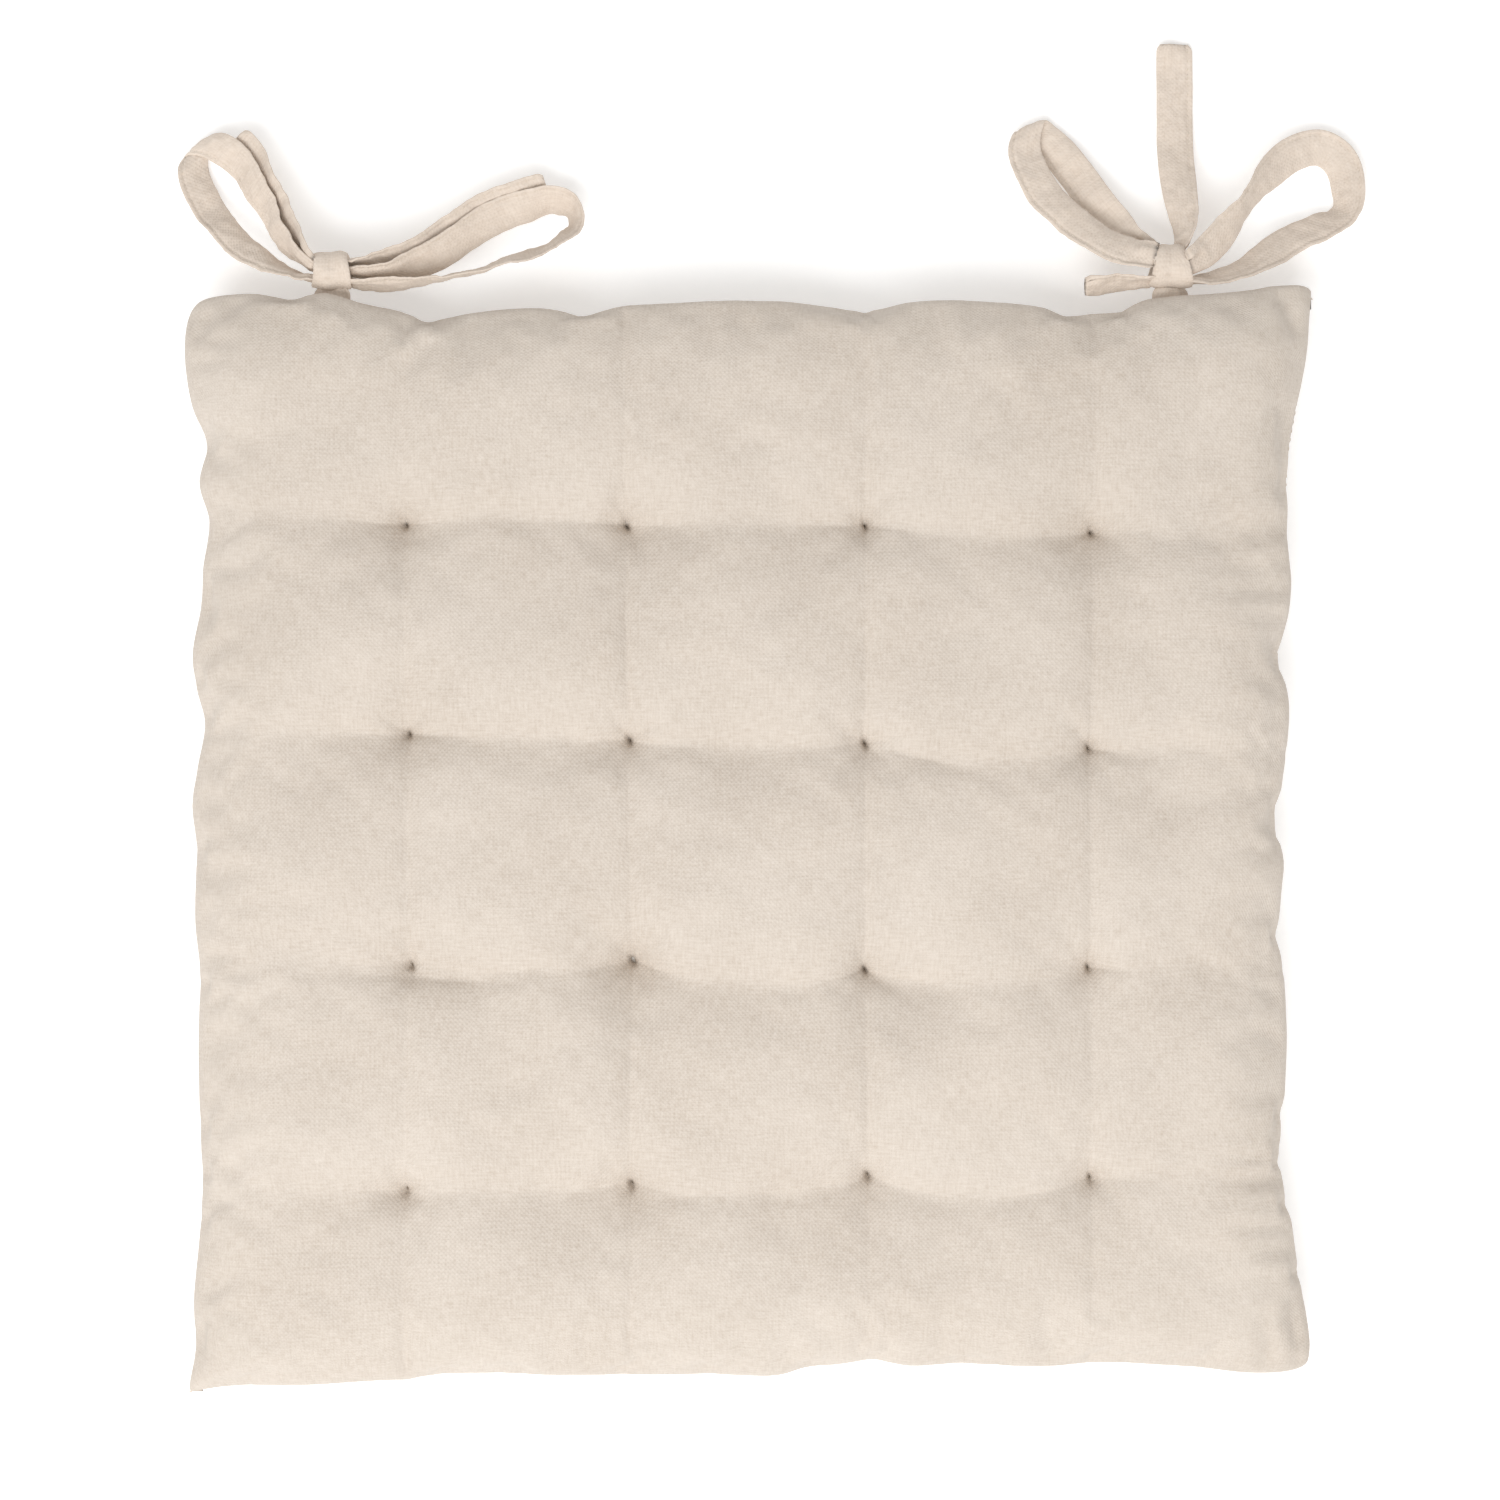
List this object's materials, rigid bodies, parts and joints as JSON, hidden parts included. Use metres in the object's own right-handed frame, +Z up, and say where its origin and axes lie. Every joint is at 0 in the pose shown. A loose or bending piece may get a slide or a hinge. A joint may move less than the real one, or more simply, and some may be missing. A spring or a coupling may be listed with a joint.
{
  "type": "chair seat pad",
  "caption": "Square tufted fabric seat pad with puffed cells and a ribbon bow at each back corner for tying it to a chair.",
  "frame": {"origin": "under the middle of the pad, on the surface that it rests on", "axes": "+Z up through the pad's thickness, +Y to the back edge with the ties, +X to the right seen from above"},
  "size_m": [0.4275, 0.4815, 0.045],
  "materials": {
    "cover_cloth": "matt plain weave with slubs",
    "tie_ribbon": "matt folded and topstitched ribbon",
    "sewing_thread": "matt twisted thread",
    "fibre_filling": "white fibre batt"
  },
  "bodies": {
    "pad": {"bottom_cover": "cover_cloth", "closing_stitch_thread": "sewing_thread", "edge_seam_thread": "sewing_thread", "filling": "fibre_filling", "left_tie_root": "tie_ribbon", "right_tie_root": "tie_ribbon", "top_cover": "cover_cloth", "tuft_thread_row1_column1": "sewing_thread", "tuft_thread_row1_column2": "sewing_thread", "tuft_thread_row1_column3": "sewing_thread", "tuft_thread_row1_column4": "sewing_thread", "tuft_thread_row2_column1": "sewing_thread", "tuft_thread_row2_column2": "sewing_thread", "tuft_thread_row2_column3": "sewing_thread", "tuft_thread_row2_column4": "sewing_thread", "tuft_thread_row3_column1": "sewing_thread", "tuft_thread_row3_column2": "sewing_thread", "tuft_thread_row3_column3": "sewing_thread", "tuft_thread_row3_column4": "sewing_thread", "tuft_thread_row4_column1": "sewing_thread", "tuft_thread_row4_column2": "sewing_thread", "tuft_thread_row4_column3": "sewing_thread", "tuft_thread_row4_column4": "sewing_thread"},
    "left_tie": {"left_bow_left_loop": "tie_ribbon", "left_bow_left_tail": "tie_ribbon", "left_bow_right_loop": "tie_ribbon", "left_bow_right_tail": "tie_ribbon", "left_knot": "tie_ribbon"},
    "right_tie": {"right_bow_left_loop": "tie_ribbon", "right_bow_long_tail": "tie_ribbon", "right_bow_right_loop": "tie_ribbon", "right_bow_short_tail": "tie_ribbon", "right_knot": "tie_ribbon"}
  },
  "joints": [
    {"name": "left_tie_swing", "type": "hinge", "parent": "pad", "child": "left_tie", "pos_m": [-0.1487, 0.2, 0.0225], "axis": [1, 0, 0], "range_deg": [-90, 90]},
    {"name": "right_tie_swing", "type": "hinge", "parent": "pad", "child": "right_tie", "pos_m": [0.1487, 0.2, 0.0225], "axis": [1, 0, 0], "range_deg": [-90, 90]}
  ]
}
